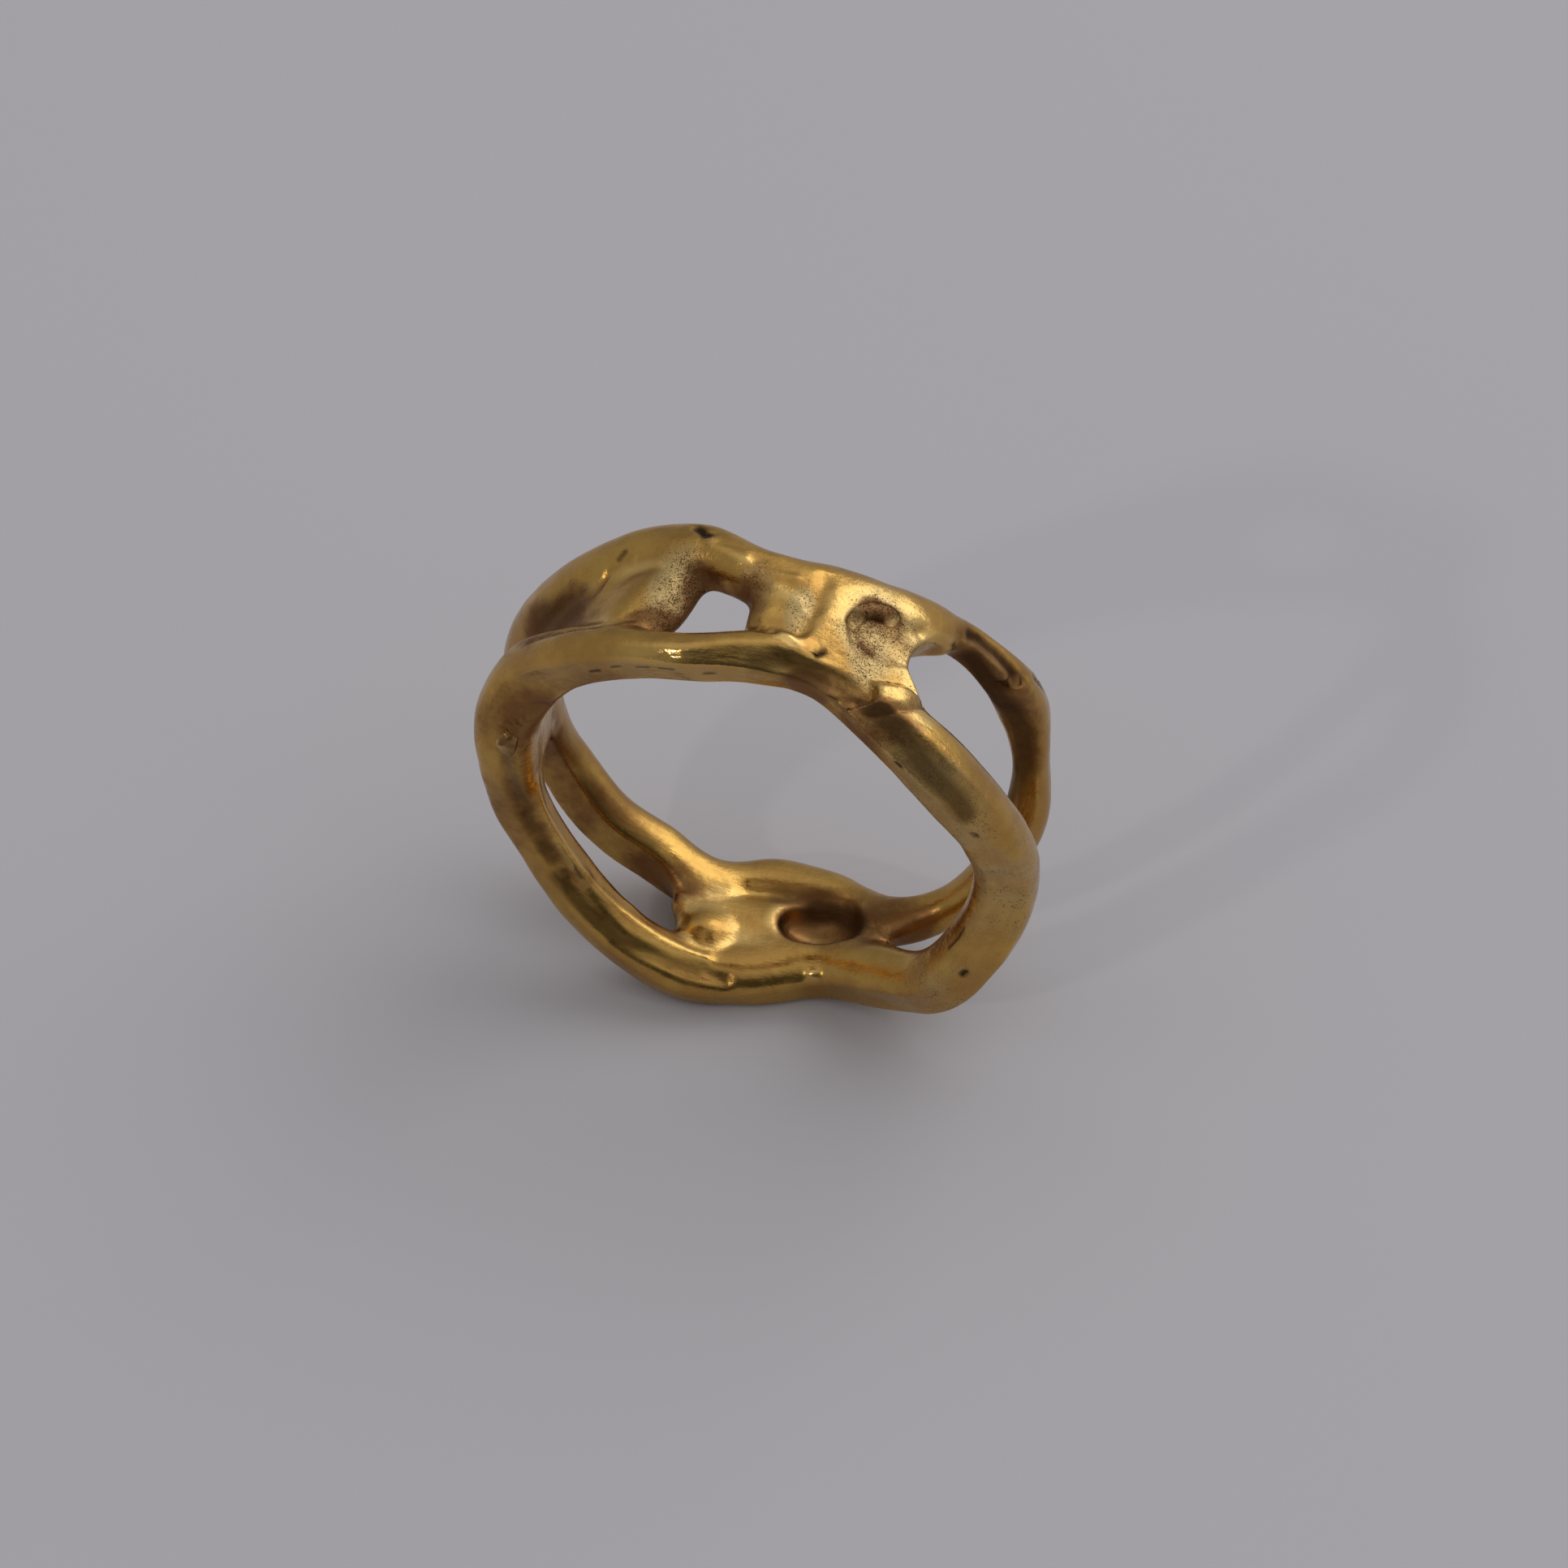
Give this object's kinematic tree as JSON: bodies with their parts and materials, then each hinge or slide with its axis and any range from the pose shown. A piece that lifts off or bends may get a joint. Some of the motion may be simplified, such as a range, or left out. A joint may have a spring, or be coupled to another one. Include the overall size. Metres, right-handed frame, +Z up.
{
  "type": "openwork finger ring",
  "caption": "Cast brass finger ring whose two wavy rails part and rejoin around the finger hole, leaving open windows between organic webs.",
  "frame": {"origin": "centre of the finger hole, midway along the ring's width", "axes": "+Y along the finger hole towards the rear rail, +Z up as the ring stands on its edge, +X to the right seen from the front rail"},
  "size_m": [0.0223, 0.0095, 0.0218],
  "materials": {
    "cast_brass": "as-cast yellow brass, rubbed to a satin shine on the high places, fine pits, brown tarnish left in the hollows"
  },
  "bodies": {
    "root": {"cast_ring": "cast_brass"}
  },
  "joints": []
}
